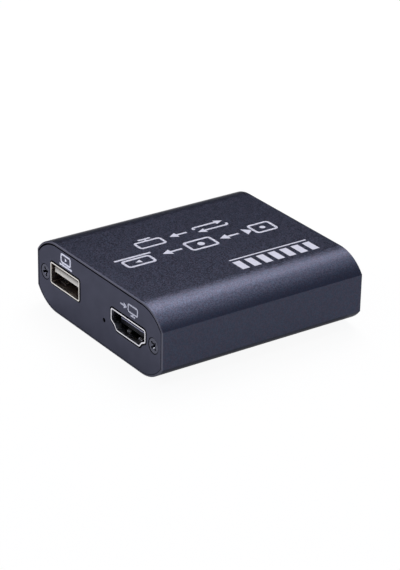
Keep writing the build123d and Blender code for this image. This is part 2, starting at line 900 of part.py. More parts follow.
def nodes():
    """Every separate piece, by name."""
    made = {
        "case_sleeve": case_sleeve(),
        "front_end_plate": front_end_plate(),
        "rear_end_plate": rear_end_plate(),
        "front_plate_screws": front_plate_screws(),
        "rear_plate_screws": rear_plate_screws(),
        "circuit_board": circuit_board(),
        "led_body": led_body(),
        "led_dome": led_dome(),
        "capture_chip": capture_chip(),
        "capture_chip_leads": capture_chip_leads(),
        "splitter_chip": splitter_chip(),
        "memory_chip": memory_chip(),
        "memory_chip_leads": memory_chip_leads(),
        "voltage_regulator": voltage_regulator(),
        "voltage_regulator_leads": voltage_regulator_leads(),
        "power_inductors": power_inductors(),
        "crystals": crystals(),
        "bulk_capacitors": bulk_capacitors(),
        "surge_arrays": surge_arrays(),
        "chip_capacitors": chip_capacitors(),
        "chip_resistors": chip_resistors(),
        "data_socket_shell": at_front(data_socket_shell(), data_x, port_stand_out),
        "data_socket_tongue": at_front(data_socket_tongue(), data_x, port_stand_out),
        "data_socket_contacts": placed(data_socket_contacts(), at_front, data_x, port_stand_out),
        "data_upper_springs": placed(data_upper_springs(), at_front, data_x, port_stand_out),
        "data_lower_springs": placed(data_lower_springs(), at_front, data_x, port_stand_out),
    }
    for name, place in (("output", at_front), ("input", at_rear)):
        where = (place, video_x, video_stand_out)
        made[name + "_socket_shell"] = placed([video_socket_shell()], *where)
        made[name + "_socket_tongue"] = placed([video_socket_tongue()], *where)
        made[name + "_socket_contacts"] = placed(video_socket_contacts(), *where)
        made[name + "_upper_springs"] = placed(video_upper_springs(), *where)
        made[name + "_lower_springs"] = placed(video_lower_springs(), *where)
    for name, x in (("audio", outer_jack_x), ("microphone", inner_jack_x)):
        where = (at_rear, x, port_stand_out)
        made[name + "_jack_housing"] = placed([jack_housing()], *where)
        made[name + "_jack_terminals"] = placed(jack_terminals(), *where)
        made[name + "_jack_tip_spring"] = placed([jack_tip_spring()], *where)
    return made


def solids_of(shape):
    """All solids of one node, as a flat list."""
    pieces = shape if isinstance(shape, list) else [shape]
    return [solid for piece in pieces for solid in piece.solids()]


os.makedirs("parts", exist_ok=True)
for node_name, node_shape in nodes().items():
    found = solids_of(node_shape)
    whole = found[0] if len(found) == 1 else Compound(found)
    export_step(whole, os.path.join("parts", node_name + ".step"))
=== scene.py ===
import math

import bmesh
import bpy
from mathutils import Matrix, Vector


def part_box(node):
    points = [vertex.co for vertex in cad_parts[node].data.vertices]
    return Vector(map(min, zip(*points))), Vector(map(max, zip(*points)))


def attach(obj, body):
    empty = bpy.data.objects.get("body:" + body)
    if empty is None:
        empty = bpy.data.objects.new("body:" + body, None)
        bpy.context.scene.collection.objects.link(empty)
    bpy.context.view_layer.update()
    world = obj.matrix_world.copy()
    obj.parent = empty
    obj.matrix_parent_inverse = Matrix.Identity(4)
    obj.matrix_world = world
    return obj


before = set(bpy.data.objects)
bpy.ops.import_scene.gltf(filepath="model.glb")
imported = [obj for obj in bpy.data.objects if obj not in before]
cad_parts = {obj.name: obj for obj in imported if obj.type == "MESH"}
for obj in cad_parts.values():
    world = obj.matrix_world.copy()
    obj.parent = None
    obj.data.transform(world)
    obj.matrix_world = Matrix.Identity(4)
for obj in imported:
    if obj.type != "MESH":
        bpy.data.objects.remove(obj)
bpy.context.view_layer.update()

# A small aluminium video box: finishes for its solid pieces, the printed signs on its
# faces, the fine detail on its circuit board, and a plain studio. Lengths are metres,
# except where a note gives millimetres.

mm = 0.001
print("stage: frame loaded,", len(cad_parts), "solid pieces")


class Signal:
    # One output of a node. Sums of signals add their Math nodes by themselves.
    def __init__(self, maker, node, socket=None):
        self.maker = maker
        self.node = node
        self.socket = socket or next(iter(node.outputs), None)

    def out(self, name):
        found = next(s for s in self.node.outputs if name in (s.identifier, s.name))
        return Signal(self.maker, self.node, found)

    def math(self, operation, first, second=0.0):
        return self.maker.node("ShaderNodeMath", {"operation": operation}, {0: first, 1: second})

    def __add__(self, other):
        return self.math("ADD", self, other)

    def __radd__(self, other):
        return self.math("ADD", other, self)

    def __sub__(self, other):
        return self.math("SUBTRACT", self, other)

    def __rsub__(self, other):
        return self.math("SUBTRACT", other, self)

    def __mul__(self, other):
        return self.math("MULTIPLY", self, other)

    def __rmul__(self, other):
        return self.math("MULTIPLY", other, self)

    def __abs__(self):
        return self.math("ABSOLUTE", self)

    def largest(self, other):
        return self.math("MAXIMUM", self, other)


class NodeMaker:
    # Adds nodes to one tree: settings first, then the values or links of the sockets.
    def __init__(self, tree):
        self.tree = tree

    def node(self, kind, settings=None, inputs=None):
        made = self.tree.nodes.new(kind)
        for name, value in (settings or {}).items():
            if name == "stops":
                self.setStops(made.color_ramp, value)
            else:
                setattr(made, name, value)
        for name, value in (inputs or {}).items():
            self.feed(self.findSocket(made, name), value)
        return Signal(self, made)

    def findSocket(self, node, name):
        if isinstance(name, int):
            return node.inputs[name]
        return next(s for s in node.inputs if name in (s.identifier, s.name))

    def setStops(self, ramp, stops):
        while len(ramp.elements) < len(stops):
            ramp.elements.new(1)
        for element, (position, colour) in zip(ramp.elements, stops):
            element.position = position
            element.color = colour

    def feed(self, socket, value):
        if isinstance(value, Signal):
            self.tree.links.new(value.socket, socket)
        else:
            socket.default_value = value


opennessSamples = 12  # rays that look for nearby walls from each point


class Finish(NodeMaker):
    # A material. Constants sit on the shader's own sockets.
    def __init__(self, name, constants):
        self.material = bpy.data.materials.new(name)
        self.material.use_nodes = True
        super().__init__(self.material.node_tree)
        self.shader = self.tree.nodes["Principled BSDF"]
        self.place = self.node("ShaderNodeTexCoord").out("Object")
        for socket, value in constants.items():
            self.shader.inputs[socket].default_value = value

    def noise(self, size, detail=2.0):
        # Values around one half; size is the length of one blotch.
        inputs = {"Vector": self.place, "Scale": 1 / size, "Detail": detail}
        return self.node("ShaderNodeTexNoise", {}, inputs).out("Fac")

    def axis(self, letter):
        return self.node("ShaderNodeSeparateXYZ", {}, {"Vector": self.place}).out(letter)

    def facing(self, letter):
        # How far the surface faces along one axis, from -1 to 1.
        normal = self.node("ShaderNodeNewGeometry").out("Normal")
        return self.node("ShaderNodeSeparateXYZ", {}, {"Vector": normal}).out(letter)

    def ease(self, value, start, end):
        # 0 before start, 1 after end, smooth between them.
        inputs = {"Value": value, "From Min": start, "From Max": end}
        return self.node("ShaderNodeMapRange", {"interpolation_type": "SMOOTHSTEP"}, inputs)

    def openness(self, reach, start, end):
        # 1 in the open and 0 deep in gaps that are narrower than the reach.
        settings = {"samples": opennessSamples}
        inputs = {"Distance": reach}
        found = self.node("ShaderNodeAmbientOcclusion", settings, inputs).out("AO")
        return self.ease(found, start, end)

    def blend(self, factor, first, second, mode="MIX"):
        settings = {"data_type": "RGBA", "blend_type": mode}
        inputs = {"Factor_Float": factor, "A_Color": first, "B_Color": second}
        return self.node("ShaderNodeMix", settings, inputs).out("Result_Color")

    def bump(self, height, depth):
        inputs = {"Height": height, "Distance": depth}
        self.surface("Normal", self.node("ShaderNodeBump", {}, inputs))

    def surface(self, name, value):
        self.feed(self.shader.inputs[name], value)


def opaque(colour):
    return (*colour, 1.0)


def shaded(colour, factor):
    return opaque([channel * factor for channel in colour])


# Sandblasted and anodised sleeve
caseLook = {
    "warmDye": (0.0485, 0.0475, 0.0705),
    "coolDye": (0.0427, 0.0500, 0.0757),
    "rimHighlightTone": (0.105, 0.105, 0.135),  # lighter tone on the sawn ends and their chamfers, a painted highlight for the light they catch
    "rimSlopes": (0.5, 0.7),  # endward slope where they begin, and where they are full
    "gapShadeTone": (0.003, 0.003, 0.006),  # painted shade, darkest deep in the narrow seam round the end plates
    "gapReach": 0.7 * mm,
    "gapRange": (0.45, 0.85),
    "speckle": 0.31 * mm,  # pits left by the blasting beads
    "speckleRange": (0.32, 0.68),  # noise values of the darkest and the lightest speck
    "hueSpeckle": 0.6 * mm,
    "hueRange": (0.36, 0.64),
    "speckleSpread": 1.3,
    "speckleShares": (1.08, 0.43, 0.18),  # on the flat top, the shoulders and the side walls
    "shoulderSlopes": (0.0, 0.2),  # sideways slope where the flat top's speckle ends
    "sideSlopes": (0.62, 0.8),  # and where the shoulders' speckle ends
    "grain": 0.12 * mm,
    "grainDepth": 0.004 * mm,
    "roughness": 0.33,
    "roughSpread": 0.08,
    "edgeTint": 0.45,
}


def caseFinish():
    look = caseLook
    finish = Finish("case", {"Metallic": 1.0, "Specular Tint": opaque([look["edgeTint"]] * 3)})
    speckle = finish.ease(finish.noise(look["speckle"], detail=3), *look["speckleRange"])
    hue = finish.ease(finish.noise(look["hueSpeckle"], detail=1), *look["hueRange"])
    grain = finish.noise(look["grain"], detail=3)
    rimHighlightMask = finish.ease(abs(finish.facing("Y")), *look["rimSlopes"])
    slope = abs(finish.facing("X"))
    level = 1 - finish.ease(slope, *look["shoulderSlopes"])
    curved = 1 - finish.ease(slope, *look["sideSlopes"])
    onTop, onShoulder, onSide = look["speckleShares"]
    strength = onSide + (onShoulder - onSide) * curved + (onTop - onShoulder) * level
    tone = 1.0 + look["speckleSpread"] * strength * (speckle - 0.5)
    dye = finish.blend(hue, opaque(look["warmDye"]), opaque(look["coolDye"]))
    tint = finish.node("ShaderNodeCombineColor", {}, {"Red": tone, "Green": tone, "Blue": tone})
    speckled = finish.blend(1.0, dye, tint, "MULTIPLY")
    # Painted highlight: a lighter tone on the sawn ends and their chamfers
    outside = finish.blend(rimHighlightMask, speckled, opaque(look["rimHighlightTone"]))
    # Painted shade: darker in the narrow seam round the end plates
    gapShadeMask = finish.openness(look["gapReach"], *look["gapRange"])
    finish.surface("Base Color", finish.blend(gapShadeMask, opaque(look["gapShadeTone"]), outside))
    finish.surface("Roughness", look["roughness"] + look["roughSpread"] * (grain - 0.5))
    finish.bump(grain, look["grainDepth"])
    return finish


# Satin end plates, smoother than the sleeve
plateLook = {
    "dye": (0.077, 0.079, 0.109),
    "edgeTint": 0.45,
    # painted shade in the narrow seam round the plate
    "gapShadeTone": (0.003, 0.003, 0.006),
    "gapReach": 0.7 * mm,
    "gapRange": (0.45, 0.85),
    "grain": 0.13 * mm,
    "grainDepth": 0.004 * mm,
    "grainShare": 0.5,  # of the shade; the rest is the mottle's
    "mottle": 4.0 * mm,
    "shadeRange": (0.3, 0.7),
    "toneSpread": 0.16,
    "roughness": 0.42,
    "roughSpread": 0.1,
}


def plateFinish():
    look = plateLook
    finish = Finish("plate", {"Metallic": 1.0, "Specular Tint": opaque([look["edgeTint"]] * 3)})
    grain = finish.noise(look["grain"], detail=3)
    mottle = finish.noise(look["mottle"])
    share = look["grainShare"]
    shade = finish.ease(grain * share + mottle * (1 - share), *look["shadeRange"])
    low, high = 1 - look["toneSpread"] / 2, 1 + look["toneSpread"] / 2
    dye = finish.blend(shade, shaded(look["dye"], low), shaded(look["dye"], high))
    # Painted shade: darker in the narrow seam round the plate's edge
    gapShadeMask = finish.openness(look["gapReach"], *look["gapRange"])
    finish.surface("Base Color", finish.blend(gapShadeMask, opaque(look["gapShadeTone"]), dye))
    finish.surface("Roughness", look["roughness"] + look["roughSpread"] * (grain - 0.5))
    finish.bump(grain, look["grainDepth"])
    return finish


# Every other finish, in millimetres: two tones, the sizes of blotches and of grit, the depth
# of the bump, and the roughness of dark and of light places. A hollow is the painted shade
# deep inside, its reach, and the openness where it is full and where it ends. edge
# is a painted highlight: the tone of slanting faces, such as chamfers. A fade is a painted
# shadow: the tone towards which the piece darkens with height, and the heights between which
# it does. crestHighlight is a painted highlight: the bright tone of a band across a spring,
# and the depths where it starts and ends. bareGlint is the tone of upward faces in the
# recesses of the right-hand screws, where a driver has worn off the dye; it is set there so
# that it also shows as a painted glint.
socketSeamShade = ((0.003, 0.003, 0.006), 0.6, 0.45, 0.85)  # painted shade in the narrow seam round a socket
plainLooks = {
    "screw": {"tones": ((0.100, 0.102, 0.130), (0.130, 0.133, 0.168)), "sizes": (0.5, 0.06),
              "depth": 0.004, "roughness": (0.3, 0.42), "metallic": 1.0, "edgeTint": 0.45,
              "hollows": [((0.006, 0.006, 0.009), 1.2, 0.25, 0.75)], "bareGlint": (0.75, 0.75, 0.78)},
    "led_base": {"tones": ((0.72, 0.71, 0.68), (0.80, 0.79, 0.77)), "sizes": (0.8, 0.1),
                 "depth": 0.003, "roughness": (0.4, 0.5)},
    "chip": {"tones": ((0.012, 0.012, 0.013), (0.022, 0.022, 0.023)), "sizes": (2.0, 0.06),
             "depth": 0.005, "roughness": (0.45, 0.6)},
    "tinned": {"tones": ((0.60, 0.60, 0.61), (0.72, 0.72, 0.72)), "sizes": (0.8, 0.15),
               "depth": 0.001, "roughness": (0.25, 0.4), "metallic": 1.0},
    "ferrite": {"tones": ((0.045, 0.045, 0.048), (0.085, 0.085, 0.09)), "sizes": (0.7, 0.08),
                "depth": 0.008, "roughness": (0.6, 0.75)},
    "can": {"tones": ((0.52, 0.52, 0.51), (0.63, 0.63, 0.61)), "sizes": (1.0, 0.1),
            "depth": 0.001, "roughness": (0.25, 0.38), "metallic": 1.0},
    "capacitor": {"tones": ((0.62, 0.34, 0.05), (0.70, 0.41, 0.08)), "sizes": (1.2, 0.1),
                  "depth": 0.003, "roughness": (0.4, 0.5)},
    "chip_capacitor": {"tones": ((0.36, 0.25, 0.15), (0.46, 0.33, 0.21)), "sizes": (0.5, 0.05),
                       "depth": 0.002, "roughness": (0.4, 0.55)},
    "data_insulator": {"tones": ((0.66, 0.62, 0.56), (0.72, 0.68, 0.62)), "sizes": (1.5, 0.12),
                       "depth": 0.003, "roughness": (0.5, 0.62),
                       "hollows": [((0.13, 0.10, 0.075), 1.6, 0.4, 0.95)],
                       # painted shadow: the tongue darkens towards its top, under the shell's lip
                       "fade": ((0.15, 0.14, 0.125), 10.5, 12.3)},
    # The black tongues take a painted highlight on their slanting faces
    "black_insulator": {"tones": ((0.003, 0.003, 0.005), (0.006, 0.006, 0.009)),
                        "sizes": (1.5, 0.1), "depth": 0.003, "roughness": (0.42, 0.55),
                        "gloss": 0.08, "edge": (0.34, 0.34, 0.46)},
    "gold_contact": {"tones": ((0.70, 0.48, 0.17), (0.82, 0.60, 0.26)), "sizes": (1.2, 0.1),
                     "depth": 0.001, "roughness": (0.22, 0.35), "metallic": 1.0},
    "data_shell": {"tones": ((0.68, 0.65, 0.61), (0.80, 0.77, 0.73)), "sizes": (2.0, 0.15),
                   "depth": 0.002, "roughness": (0.26, 0.4), "metallic": 1.0,
                   "hollows": [((0.18, 0.125, 0.11), 5.0, 0.4, 0.8), socketSeamShade]},
    "video_shell": {"tones": ((0.76, 0.75, 0.79), (0.88, 0.87, 0.91)), "sizes": (2.0, 0.15),
                    "depth": 0.002, "roughness": (0.26, 0.4), "metallic": 1.0,
                    "hollows": [((0.03, 0.03, 0.04), 4.0, 0.4, 0.8), socketSeamShade]},
    # The springs' dark tones are painted shade inside the sockets, with a painted highlight near
    # their tips
    "data_spring": {"tones": ((0.22, 0.21, 0.21), (0.30, 0.29, 0.29)), "sizes": (1.0, 0.1),
                    "depth": 0.001, "roughness": (0.26, 0.4), "metallic": 1.0,
                    "crestHighlight": ((0.80, 0.78, 0.78), 2.6, 3.9)},
    "video_spring": {"tones": ((0.10, 0.10, 0.11), (0.16, 0.16, 0.17)), "sizes": (1.0, 0.1),
                     "depth": 0.001, "roughness": (0.26, 0.4), "metallic": 1.0,
                     "crestHighlight": ((0.95, 0.94, 0.98), 1.6, 2.3)},
    "ink": {"tones": ((0.47, 0.47, 0.55), (0.54, 0.54, 0.62)), "sizes": (1.5, 0.2),
            "depth": 0.004, "roughness": (0.55, 0.7)},
    # A brighter copy of the ink, painted light for the sign on the shaded front plate
    "thick_ink": {"tones": ((0.70, 0.70, 0.80), (0.78, 0.78, 0.88)), "sizes": (1.5, 0.2),
                  "depth": 0.004, "roughness": (0.55, 0.7)},
    "legend": {"tones": ((0.70, 0.71, 0.68), (0.80, 0.81, 0.78)), "sizes": (1.0, 0.1),
               "depth": 0.003, "roughness": (0.55, 0.7)},
    "track": {"tones": ((0.030, 0.20, 0.075), (0.045, 0.25, 0.10)), "sizes": (1.5, 0.2),
              "depth": 0.003, "roughness": (0.25, 0.35)},
    "led_lens": {"tones": ((0.90, 0.92, 0.95), (0.97, 0.98, 1.0)), "sizes": (0.5, 0.1),
                 "depth": 0.001, "roughness": (0.05, 0.1), "transmission": 0.9},
}


# What these finishes share
toneLook = {
    "blotchShare": 0.6,  # of the mix; the rest is the grit's
    "mixRange": (0.32, 0.68),
    "edgeRise": (0.5, 0.6),  # slopes between which the painted highlight on slanting faces comes in
    "edgeFall": (0.8, 0.9),  # and between which it goes again
    "crestFade": 0.2 * mm,
    # where the screws' worn steel is set, so that it also shows as a painted glint
    "bareGlintDepths": (0.12 * mm, 0.18 * mm),
    "bareGlintSlopes": (0.5, 0.7),
    "bareGlintAcross": (0, 1 * mm),
}


def depthInside(finish):
    # How far a point lies in from the nearer end of the sleeve.
    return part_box("case_sleeve")[1].y - abs(finish.axis("Y"))


def twoToneFinish(name):
    look = plainLooks[name]
    constants = {"Metallic": look.get("metallic", 0.0),
                 "Transmission Weight": look.get("transmission", 0.0),
                 "Specular IOR Level": look.get("gloss", 0.5),
                 "Specular Tint": opaque([look.get("edgeTint", 1.0)] * 3)}
    finish = Finish(name, constants)
    blotch, grit = (finish.noise(size * mm) for size in look["sizes"])
    share = toneLook["blotchShare"]
    mixed = finish.ease(blotch * share + grit * (1 - share), *toneLook["mixRange"])
    dark, light = (opaque(tone) for tone in look["tones"])
    smooth, rough = look["roughness"]
    colour = finish.blend(mixed, dark, light)
    # Painted highlight on slanting faces, such as the chamfer along a tongue's top
    if "edge" in look:
        slant = abs(finish.facing("Z"))
        rise, fall = (finish.ease(slant, *toneLook[key]) for key in ("edgeRise", "edgeFall"))
        colour = finish.blend(rise - fall, colour, opaque(look["edge"]))
    # Painted shadow: darker with height, towards the tone of the fade
    if "fade" in look:
        shade, low, high = look["fade"]
        heightShadow = finish.ease(finish.axis("Z"), low * mm, high * mm)
        colour = finish.blend(heightShadow, colour, opaque(shade))
    for shade, reach, start, end in look.get("hollows", []):
        colour = finish.blend(finish.openness(reach * mm, start, end), opaque(shade), colour)
    # Painted highlight: a bright band across the springs near the mouth
    if "crestHighlight" in look:
        shade, start, end = look["crestHighlight"]
        start, end, fade = start * mm, end * mm, toneLook["crestFade"]
        depth = depthInside(finish)
        crestGlintMask = finish.ease(depth, start, start + fade) - finish.ease(depth, end - fade, end)
        colour = finish.blend(crestGlintMask, colour, opaque(shade))
    # Worn steel in the right-hand screws' recesses, set on upward faces so that it shows as a
    # painted glint
    if "bareGlint" in look:
        bareGlintMask = finish.ease(depthInside(finish), *toneLook["bareGlintDepths"])
        bareGlintMask = bareGlintMask * finish.ease(finish.facing("Z"), *toneLook["bareGlintSlopes"])
        bareGlintMask = bareGlintMask * finish.ease(finish.axis("X"), *toneLook["bareGlintAcross"])
        colour = finish.blend(bareGlintMask, colour, opaque(look["bareGlint"]))
    finish.surface("Base Color", colour)
    finish.surface("Roughness", smooth + (rough - smooth) * mixed)
    finish.bump(grit, look["depth"] * mm)
    return finish


# Green solder mask over laminate, with wide copper areas that show through
boardLook = {
    "mask": (0.012, 0.115, 0.040),
    "overCopper": (0.020, 0.150, 0.055),
    "laminate": (0.42, 0.36, 0.17),  # on the cut edges
    "cutSlopes": (0.4, 0.6),
    "roughness": 0.3,
    "areaSize": 6.0 * mm,
    "areaRange": (0.40, 0.42),
    "areaScatter": 0.8,
    "weave": 0.35 * mm,
    "weaveDepth": 0.006 * mm,
}


def boardFinish():
    look = boardLook
    finish = Finish("board", {"Roughness": look["roughness"]})
    settings = {"distance": "CHEBYCHEV", "feature": "F1"}
    inputs = {"Vector": finish.place, "Scale": 1 / look["areaSize"],
              "Randomness": look["areaScatter"]}
    areas = finish.node("ShaderNodeTexVoronoi", settings, inputs).out("Distance")
    gaps = finish.ease(areas, *look["areaRange"])
    cutEdge = 1 - finish.ease(abs(finish.facing("Z")), *look["cutSlopes"])
    mask = finish.blend(gaps, opaque(look["overCopper"]), opaque(look["mask"]))
    finish.surface("Base Color", finish.blend(cutEdge, mask, opaque(look["laminate"])))
    finish.bump(finish.noise(look["weave"], detail=1), look["weaveDepth"])
    return finish


finishes = {"case": caseFinish(), "plate": plateFinish(), "board": boardFinish()}
finishes.update({name: twoToneFinish(name) for name in plainLooks})
ownFinishes = {"data_lower_springs": "data_spring", "output_lower_springs": "video_spring",
               "input_lower_springs": "video_spring"}
for nodeName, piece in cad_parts.items():
    for holder in piece.material_slots:
        wanted = ownFinishes.get(nodeName, holder.material.name.split(".")[0])
        holder.material = finishes[wanted].material
print("stage: finishes made,", len(finishes))


class Recipe(NodeMaker):
    # A Geometry Nodes tree with named inputs, run on a guide mesh and baked.
    def __init__(self, name, sizes):
        super().__init__(bpy.data.node_groups.new(name, "GeometryNodeTree"))
        self.sockets = {}
        self.declare("Geometry", "NodeSocketGeometry", "OUTPUT")
        self.declare("Geometry", "NodeSocketGeometry")
        self.declare("Material", "NodeSocketMaterial")
        for title in sizes:
            self.declare(title, "NodeSocketFloat")
        self.given = self.node("NodeGroupInput")

    def declare(self, title, kind, way="INPUT"):
        made = self.tree.interface.new_socket(title, in_out=way, socket_type=kind)
        self.sockets[title] = made.identifier

    def close(self, geometry):
        real = self.node("GeometryNodeRealizeInstances", {}, {"Geometry": geometry})
        inputs = {"Geometry": real, "Material": self.given.out("Material")}
        painted = self.node("GeometryNodeSetMaterial", {}, inputs)
        self.node("NodeGroupOutput", {}, {"Geometry": painted})

    def bake(self, guide, finishName, values):
        holder = bpy.data.objects.new("guide", guide)
        bpy.context.scene.collection.objects.link(holder)
        modifier = holder.modifiers.new("recipe", "NODES")
        modifier.node_group = self.tree
        modifier[self.sockets["Material"]] = finishes[finishName].material
        for title, value in values.items():
            modifier[self.sockets[title]] = value
        graph = bpy.context.evaluated_depsgraph_get()
        mesh = bpy.data.meshes.new_from_object(holder.evaluated_get(graph))
        bpy.data.objects.remove(holder)
        return mesh


bendPoints = 6  # points along each rounded bend of a stroke


def strokeRecipe():
    # Sweeps a flat strip along every line of the guide, with rounded bends.
    recipe = Recipe("strokes", ("Stroke Width", "Film", "Bend Radius"))
    line = recipe.node("GeometryNodeMeshToCurve", {}, {"Mesh": recipe.given.out("Geometry")})
    inputs = {"Curve": line, "Count": bendPoints, "Radius": recipe.given.out("Bend Radius"),
              "Limit Radius": True}
    bent = recipe.node("GeometryNodeFilletCurve", {"mode": "POLY"}, inputs)
    level = recipe.node("GeometryNodeSetCurveNormal", {"mode": "Z_UP"}, {"Curve": bent})
    inputs = {"Width": recipe.given.out("Stroke Width"), "Height": recipe.given.out("Film")}
    section = recipe.node("GeometryNodeCurvePrimitiveQuadrilateral", {}, inputs)
    inputs = {"Curve": level, "Profile Curve": section, "Fill Caps": True}
    recipe.close(recipe.node("GeometryNodeCurveToMesh", {}, inputs))
    return recipe


strokes = strokeRecipe()


def guideMesh(lines):
    # Lines are (points, closed), drawn in the XY plane.
    points, edges = [], []
    for line, closed in lines:
        start = len(points)
        points += [(x, y, 0) for x, y in line]
        edges += [(start + i, start + i + 1) for i in range(len(line) - 1)]
        if closed:
            edges.append((start + len(line) - 1, start))
    mesh = bpy.data.meshes.new("lines")
    mesh.from_pydata(points, edges, [])
    return mesh


def addPiece(name, meshes):
    # Joins meshes into one object at the origin that moves with the box.
    joined = bmesh.new()
    for mesh in meshes:
        joined.from_mesh(mesh)
    bmesh.ops.recalc_face_normals(joined, faces=joined.faces)
    whole = bpy.data.meshes.new(name)
    joined.to_mesh(whole)
    joined.free()
    whole.materials.append(meshes[0].materials[0])
    piece = bpy.data.objects.new(name, whole)
    bpy.context.scene.collection.objects.link(piece)
    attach(piece, "box")


def prism(outline, film, finishName):
    # Closed plate of an outline in the XY plane, half its film above it and half below.
    count = len(outline)
    points = [(x, y, z) for z in (-film / 2, film / 2) for x, y in outline]
    faces = [list(reversed(range(count))), list(range(count, 2 * count))]
    for i in range(count):
        following = (i + 1) % count
        faces.append([i, following, count + following, count + i])
    mesh = bpy.data.meshes.new("prism")
    mesh.from_pydata(points, [], faces)
    mesh.materials.append(finishes[finishName].material)
    return mesh


def arcPoints(centre, radius, start, end, count=16):
    angles = [math.radians(start + (end - start) * i / count) for i in range(count + 1)]
    return [(centre[0] + radius * math.cos(a), centre[1] + radius * math.sin(a)) for a in angles]


def rectangle(left, low, width, height):
    return [(left, low), (left + width, low), (left + width, low + height), (left, low + height)]


def disc(centre, radius):
    return arcPoints(centre, radius, 0, 360, count=32)[:-1]


# Printed signs. Each drawing gives its lines, open or closed, and its filled shapes as shares
# of its width and height, from its own lower left corner.
def cameraSign(width, height):
    body, back = 0.7 * width, 0.78 * width
    nose = [(back, 0.42 * height), (width, 0.12 * height),
            (width, 0.88 * height), (back, 0.58 * height)]
    lens = disc((body / 2, height / 2), 0.16 * height)
    return [(rectangle(0, 0, body, height), True)], [lens, nose]


def boxSign(width, height):
    return [(rectangle(0, 0, width, height), True)], [disc((width / 2, height / 2), 0.2 * height)]


def laptopSign(width, height):
    lid = rectangle(0.13 * width, 0.24 * height, 0.74 * width, 0.76 * height)
    play = [(0.44 * width, 0.45 * height), (0.60 * width, 0.62 * height),
            (0.44 * width, 0.79 * height)]
    return [(lid, True), ([(0, 0), (width, 0)], False)], [play]


def screenSign(width, height):
    screen = rectangle(0, 0.26 * height, width, 0.74 * height)
    foot = [(0.26 * width, 0), (0.74 * width, 0)]
    stem = [(0.5 * width, 0), (0.5 * width, 0.26 * height)]
    return [(screen, True), (foot, False), (stem, False)], []


def arrowHead(x, y, length, width):
    # Triangle with its tip at (x, y); a negative length turns it round.
    return [(x - length, y - width / 2), (x, y), (x - length, y + width / 2)]


def arrowSign(width, height):
    head = 0.85 * height
    shaft = [(0, height / 2), (width - 0.9 * head, height / 2)]
    return [(shaft, False)], [arrowHead(width, height / 2, head, height)]


def loopSign(width, height):
    head, low, high = 0.5 * height, 0.2 * height, 0.8 * height
    there = [(0, 0.56 * height), (0, high), (width - 0.9 * head, high)]
    back = [(width, 0.44 * height), (width, low), (0.9 * head, low)]
    tips = [arrowHead(width, high, head, head), arrowHead(0, low, -head, head)]
    return [(there, False), (back, False)], tips


def barsSign(width, height):
    count = 7
    pitch = width / (count - 0.4)
    bars = [rectangle(i * pitch, 0.24 * height, 0.6 * pitch, 0.76 * height) for i in range(count)]
    return [], bars + [rectangle(0, 0, width, 0.08 * height)]


def headphoneSign(width, height):
    band = arcPoints((width / 2, height - width / 2), width / 2, 180, 0)
    pads = [rectangle(x, 0, 0.26 * width, 0.5 * height) for x in (-0.08 * width, 0.82 * width)]
    return [([(0, 0.3 * height)] + band + [(width, 0.3 * height)], False)], pads


def microphoneSign(width, height):
    capsule = arcPoints((width / 2, 0.78 * height), 0.22 * height, 180, 0)
    capsule += arcPoints((width / 2, 0.55 * height), 0.22 * height, 0, -180)
    cradle = arcPoints((width / 2, 0.55 * height), width / 2, 180, 360)
    stem = [(width / 2, 0.55 * height - width / 2), (width / 2, 0)]
    base = [(0.2 * width, 0), (0.8 * width, 0)]
    return [(cradle, False), (stem, False), (base, False)], [capsule]


def signPlace(face, across, up):
    # Matrix that puts a drawing on a face, with its lower left corner at (across, up).
    low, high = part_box("case_sleeve")
    if face == "top":
        axes = Vector((0, -1, 0)), Vector((1, 0, 0)), Vector((0, 0, 1))
        corner = Vector((up * mm, across * mm, high.z))
    elif face == "front":
        axes = Vector((1, 0, 0)), Vector((0, 0, 1)), Vector((0, -1, 0))
        corner = Vector((across * mm, low.y, up * mm))
    else:
        axes = Vector((-1, 0, 0)), Vector((0, 0, 1)), Vector((0, 1, 0))
        corner = Vector((across * mm, high.y, up * mm))
    place = Matrix(axes).transposed().to_4x4()
    place.translation = corner
    return place


printLook = {
    "film": 0.012 * mm,
    "layer": 0.93,  # each further stroke of a sign is this much thinner, so crossings stay clean
    "bend": 1.0,  # radius of a bend along the stroke's middle, as a share of its width
    # signs in the brighter copy of the ink, painted light on the shaded front plate
    "thickInk": ["data_laptop_sign"],
}
# Face, drawing, lower left corner across and up, width, height and stroke, in millimetres
signs = {
    "top_camera_sign": ("top", cameraSign, 22.0, -2.4, 8.4, 4.6, 0.75),
    "top_first_arrow": ("top", arrowSign, 11.9, -1.5, 5.6, 2.8, 0.75),
    "top_box_sign": ("top", boxSign, 4.5, -2.4, 7.4, 4.6, 0.75),
    "top_second_arrow": ("top", arrowSign, -4.7, -1.5, 5.6, 2.8, 0.75),
    "top_laptop_sign": ("top", laptopSign, -12.3, -2.4, 10.2, 4.6, 0.75),
    "top_loop_sign": ("top", loopSign, 13.0, -9.6, 9.0, 4.4, 0.7),
    "top_third_arrow": ("top", arrowSign, 1.6, -8.7, 5.0, 2.5, 0.7),
    "top_screen_sign": ("top", screenSign, -5.8, -9.6, 7.2, 4.4, 0.7),
    "top_bars": ("top", barsSign, 23.4, 11.4, 22.6, 5.8, 0.7),
    "data_laptop_sign": ("front", laptopSign, -17.0, 14.1, 5.6, 2.8, 0.54),
    "output_arrow": ("front", arrowSign, 9.9, 13.7, 2.8, 1.6, 0.42),
    "output_screen_sign": ("front", screenSign, 13.2, 13.1, 3.9, 2.5, 0.42),
    "input_screen_sign": ("rear", screenSign, 16.9, 13.4, 3.7, 2.2, 0.32),
    "input_arrow": ("rear", arrowSign, 12.5, 13.7, 2.6, 1.5, 0.32),
    "headphone_sign": ("rear", headphoneSign, -16.8, 13.2, 2.6, 2.6, 0.34),
    "microphone_sign": ("rear", microphoneSign, -7.4, 13.1, 1.8, 2.8, 0.32),
}


